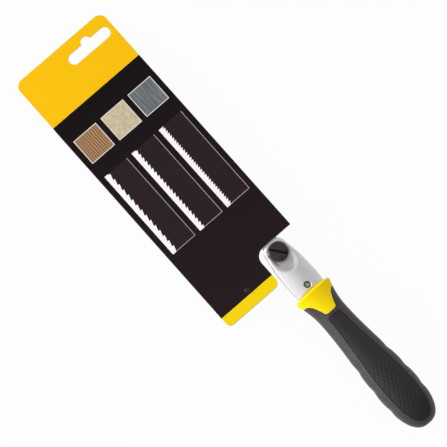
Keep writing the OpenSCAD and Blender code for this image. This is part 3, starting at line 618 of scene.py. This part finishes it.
def printed_teeth(x, y, length, pitch):
    """Mask of a row of raked teeth that point towards -Y from a line at y, in millimetres."""
    count = add_node(printed_board, "Math", {0: spot["X"], 1: pitch}, operation="DIVIDE")
    rake = add_node(printed_board, "Math", {0: count.outputs[0]}, operation="FRACT")
    reach = add_node(printed_board, "Math", {
        0: rake.outputs[0], 1: tooth_depth, 2: spot["Y"]}, operation="MULTIPLY_ADD")
    tooth = add_node(printed_board, "Math", {0: reach.outputs[0], 1: y}, operation="GREATER_THAN")
    row = printed_block(x, y - tooth_depth / 2, length, tooth_depth)
    return add_node(printed_board, "Math", {0: tooth.outputs[0], 1: row}, operation="MULTIPLY").outputs[0]


# What the three swatches show: planed softwood, rough plaster and drawn sheet metal.
# A wave texture of scale 1 repeats about every 0.31 metres.
wave_length, softwood_ring = 0.31, 1.6 * mm
grain_line = add_node(printed_board, "TexWave", {
    "Vector": place, "Scale": wave_length / softwood_ring, "Distortion": 5, "Detail": 2, "Detail Scale": 0.6},
    bands_direction="Y")
softwood = add_node(printed_board, "MixRGB", {
    "Fac": grain_line.outputs["Fac"], "Color1": linear("#6d4a33"), "Color2": linear("#b58f68")})
trowelled = add_node(printed_board, "TexNoise", {"Vector": place, "Scale": 1 / (2.2 * mm), "Detail": 6})
plaster = add_node(printed_board, "MixRGB", {
    "Fac": trowelled.outputs["Fac"], "Color1": linear("#a4946f"), "Color2": linear("#dcd3b8")})
drawn = add_node(printed_board, "Mapping", {"Vector": place, "Scale": (0.08, 1, 1)})
streak = add_node(printed_board, "TexNoise", {
    "Vector": drawn.outputs["Vector"], "Scale": 1 / (1.4 * mm), "Detail": 4})
sheet_metal = add_node(printed_board, "MixRGB", {
    "Fac": streak.outputs["Fac"], "Color1": linear("#2c2f33"), "Color2": linear("#8b9095")})

# Inks: black all over that fades to a warmer tone towards the foot, a band of yellow at the top and
# at the foot, and the chart on the front.
fade = add_node(printed_board, "MapRange", {
    "Value": spot["X"], "From Min": foot_x, "From Max": header_x, "To Min": 1.0, "To Max": 0.0}).outputs["Result"]
black = add_node(printed_board, "MixRGB", {
    "Fac": fade, "Color1": linear("#0c0507"), "Color2": linear("#211418")}).outputs["Color"]
inks = []
for column, (picture, pitch) in enumerate(zip((softwood, plaster, sheet_metal), tooth_pitches)):
    middle = card_middle_y + column_pitch * (1 - column)
    left = middle + swatch_size / 2
    picture_size = swatch_size - 2 * swatch_rim
    inks += [
        (printed_block(swatch_x, middle, swatch_size, swatch_size), linear("#d9d2c6")),
        (printed_block(swatch_x, middle, picture_size, picture_size), picture.outputs["Color"]),
        (printed_block(column_x, middle, column_length, swatch_size), linear("#999193")),
        (printed_block(column_x + line_width / 2, middle + line_width / 2, column_length - line_width,
                       swatch_size - line_width), linear("#271b1f")),
        (printed_block(column_x, left - strip_width / 2, column_length, strip_width), linear("#f6f1f1")),
        (printed_teeth(column_x, left - strip_width, column_length, pitch), linear("#f6f1f1"))]
chart = black
for mask, ink in inks:
    chart = add_node(printed_board, "MixRGB", {"Fac": mask, "Color1": chart, "Color2": ink}).outputs["Color"]
front = add_node(printed_board, "Math", {0: spot["Z"], 1: seen_front}, operation="GREATER_THAN").outputs[0]
colour = add_node(printed_board, "MixRGB", {"Fac": front, "Color1": black, "Color2": chart}).outputs["Color"]
header = add_node(printed_board, "MixRGB", {
    "Fac": mottle, "Color1": linear("#efb700"), "Color2": linear("#f4bf00")}).outputs["Color"]
foot = add_node(printed_board, "MixRGB", {
    "Fac": mottle, "Color1": linear("#f1cf00"), "Color2": linear("#f7d702")}).outputs["Color"]
in_header = add_node(printed_board, "Math", {0: spot["X"], 1: header_x}, operation="GREATER_THAN").outputs[0]
in_foot = add_node(printed_board, "Math", {0: spot["X"], 1: foot_x}, operation="LESS_THAN").outputs[0]
colour = add_node(printed_board, "MixRGB", {"Fac": in_header, "Color1": colour, "Color2": header}).outputs["Color"]
colour = add_node(printed_board, "MixRGB", {"Fac": in_foot, "Color1": colour, "Color2": foot}).outputs["Color"]

# The outer faces and the folded sides are printed, and what is left is bare board.
# The back ply slopes up to lie against the front one in the header.
board = add_node(printed_board, "MixRGB", {
    "Fac": fibre, "Color1": linear("#b9b2a6"), "Color2": linear("#d6d0c4")}).outputs["Color"]
back_face = add_node(printed_board, "MapRange", {
    "Value": spot["X"], "From Min": slope_x, "From Max": header_x, "To Min": -card_face, "To Max": header_back})
off_back = add_node(printed_board, "Math", {0: spot["Z"], 1: back_face.outputs["Result"]}, operation="GREATER_THAN")
off_front = add_node(printed_board, "Math", {0: spot["Z"], 1: card_face}, operation="LESS_THAN")
within_faces = add_node(printed_board, "Math", {
    0: off_back.outputs[0], 1: off_front.outputs[0]}, operation="MULTIPLY").outputs[0]
within_sides = add_node(printed_board, "Math", {
    0: spot["Y"], 1: card_middle_y, 2: card_half_width}, operation="COMPARE").outputs[0]
bare = add_node(printed_board, "Math", {0: within_faces, 1: within_sides}, operation="MULTIPLY").outputs[0]
colour = add_node(printed_board, "MixRGB", {"Fac": bare, "Color1": colour, "Color2": board}).outputs["Color"]
varnish = add_node(printed_board, "MapRange", {"Value": mottle, "To Min": 0.4, "To Max": 0.52}).outputs["Result"]
relief = add_node(printed_board, "Bump", {"Height": fibre, "Strength": 0.08, "Distance": 0.03 * mm}).outputs["Normal"]
add_node(printed_board, "Principled BSDF", {
    "Base Color": colour, "Roughness": varnish, "Specular IOR Level": 0.1, "Normal": relief})

# The flat round the cut-out's inner corner is made one face on each side, and the corner is then rounded.
card_edge, corner_radius, corner_steps = 0.08 * mm, 7.5 * mm, 16
cut_out_corner, flat_end, corner_slack, flat_normal = (9.8, 12.8), (18.0, 21.0), 0.05, 0.9
for name, node in (("sleeve_front_ply", "sleeve_front_panel"), ("sleeve_back_ply", "sleeve_back_panel")):
    ply = copy_part(name, node)
    bpy.ops.object.mode_set(mode="EDIT")
    for reach, square in zip(flat_end, ((1, 0, 0), (0, 1, 0))):
        bpy.ops.mesh.select_all(action="SELECT")
        bpy.ops.mesh.bisect(plane_co=Vector(square) * reach * mm, plane_no=square)
    bpy.ops.object.mode_set(mode="OBJECT")
    pick_faces(ply, lambda middle, normal: (
        (middle[:, :2] < flat_end).all(axis=1) & (np.abs(normal[:, 2]) > flat_normal)))
    bpy.ops.mesh.dissolve_faces()
    bpy.ops.object.mode_set(mode="OBJECT")
    pick_edges(ply, lambda ends: (np.abs(ends[:, :, :2] - cut_out_corner) < corner_slack).all(axis=(1, 2)))
    bpy.ops.mesh.bevel(offset=corner_radius, segments=corner_steps, affect="EDGES")
    bpy.ops.object.mode_set(mode="OBJECT")
    soften(card_edge, steps=1)
    fit(ply, "sleeve", "sleeve_card", printed_board, node)


# Sleeve rivet: a stud pushed through both plies from the front and a cap snapped on behind.
# Both are moulded in black nylon and hold the plies together next to the stored blade.
rivet_edge = 0.12 * mm

# Moulded nylon: nearly black, with a soft satin shine.
nylon, place = new_material("moulded_nylon")
grain = add_node(nylon, "TexNoise", {"Vector": place, "Scale": 1 / (0.4 * mm), "Detail": 3})
satin = add_node(nylon, "MapRange", {"Value": grain.outputs["Fac"], "To Min": 0.32, "To Max": 0.46})
relief = add_node(nylon, "Bump", {"Height": grain.outputs["Fac"], "Strength": 0.1, "Distance": 0.02 * mm})
add_node(nylon, "Principled BSDF", {
    "Base Color": linear("#151214"), "Roughness": satin.outputs["Result"], "Specular IOR Level": 0.35,
    "Normal": relief.outputs["Normal"]})
for name, node in (("nylon_stud", "rivet_stud"), ("nylon_cap", "rivet_cap")):
    rivet = copy_part(name, node)
    soften(rivet_edge)
    fit(rivet, "sleeve", "rivet_plastic", nylon, node)


# Studio: a pale floor that the grip rests on, three softboxes and a sky that is brighter low down and on the left.
# The floor is painted pale grey but shows nearly white to the camera and in the metal, with a soft shadow.
floor_z, floor_size, white_share = -12.6, 6000, 0.96
sky_low, sky_high, side_dim, side_bright, bright_side = 0.78, 0.41, 0.55, 1.6, (0.65, 0.76, 0)

bpy.ops.object.select_all(action="DESELECT")
bpy.ops.mesh.primitive_plane_add(size=floor_size * mm, location=(0, 0, floor_z * mm))
floor = bpy.context.object
floor.name = "floor"
pale_floor, place = new_material("pale_studio_floor")
path = add_node(pale_floor, "LightPath", {}).outputs
seen = add_node(pale_floor, "Math", {0: path["Is Camera Ray"], 1: path["Is Glossy Ray"]}, operation="ADD")
seen = add_node(pale_floor, "Math", {
    0: seen.outputs[0], 1: path["Is Transmission Ray"]}, operation="ADD", use_clamp=True)
share = add_node(pale_floor, "Math", {0: seen.outputs[0], 1: white_share}, operation="MULTIPLY")
paint = add_node(pale_floor, "BsdfDiffuse", {"Color": linear("#c8c8c8")})
white = add_node(pale_floor, "Emission", {"Color": linear("#ffffff"), "Strength": 1.0})
mixed = add_node(pale_floor, "MixShader", {0: share.outputs[0], 1: paint.outputs[0], 2: white.outputs[0]})
add_node(pale_floor, "Material Output", {"Surface": mixed.outputs[0]})
floor.data.materials.append(pale_floor)

world = bpy.data.worlds.new("graded_sky")
bpy.context.scene.world = world
world.use_nodes = True
towards = add_node(world, "TexCoord", {}).outputs["Generated"]
height = add_node(world, "SeparateXYZ", {"Vector": towards}).outputs["Z"]
sky = add_node(world, "MapRange", {"Value": height, "To Min": sky_low, "To Max": sky_high})
sideways = add_node(world, "VectorMath", {0: towards, 1: bright_side}, operation="DOT_PRODUCT").outputs["Value"]
side = add_node(world, "MapRange", {
    "Value": sideways, "From Min": -1.0, "To Min": side_dim, "To Max": side_bright})
level = add_node(world, "Math", {0: sky.outputs["Result"], 1: side.outputs["Result"]}, operation="MULTIPLY")
add_node(world, "Background", {"Color": linear("#ffffff"), "Strength": level.outputs[0]})

# Each softbox has its stand and its width in metres, and its power in watts.
softboxes = (("key_softbox", (0.38, 0.6, 1.25), 1.1, 4.6), ("side_softbox", (0.75, 0.95, 0.15), 0.8, 21.0),
             ("rim_softbox", (0.2, -0.8, 0.6), 0.5, 1.5))
for name, stand, size, power in softboxes:
    lamp = bpy.data.lights.new(name, "AREA")
    lamp.shape, lamp.size, lamp.energy = "SQUARE", size, power
    holder = bpy.data.objects.new(name, lamp)
    bpy.context.collection.objects.link(holder)
    holder.location = stand
    holder.rotation_euler = (-Vector(stand)).to_track_quat("-Z", "Y").to_euler()

# The camera looks almost straight down from far off with a long lens, turned so that the handle points
# to the lower right.
view_middle = Vector((39.66, 14.18, 0)) * mm
view_back = Vector((-0.12, 0.1, 0.988)).normalized()
view_turn = math.radians(-131.71)
frame_width, lens, sensor = 299.72, 360, 36
along = (Vector((1, 0, 0)) - view_back * view_back.x).normalized()
across = view_back.cross(along)
right = math.cos(view_turn) * along + math.sin(view_turn) * across
upward = math.cos(view_turn) * across - math.sin(view_turn) * along
camera_data = bpy.data.cameras.new("photo_camera")
camera_data.lens, camera_data.sensor_width = lens, sensor
camera = bpy.data.objects.new("photo_camera", camera_data)
bpy.context.collection.objects.link(camera)
camera.location = view_middle + view_back * frame_width * mm * lens / sensor
camera.rotation_euler = Matrix((right, upward, view_back)).transposed().to_euler()
bpy.context.scene.camera = camera
bpy.context.scene.view_settings.view_transform = "Standard"
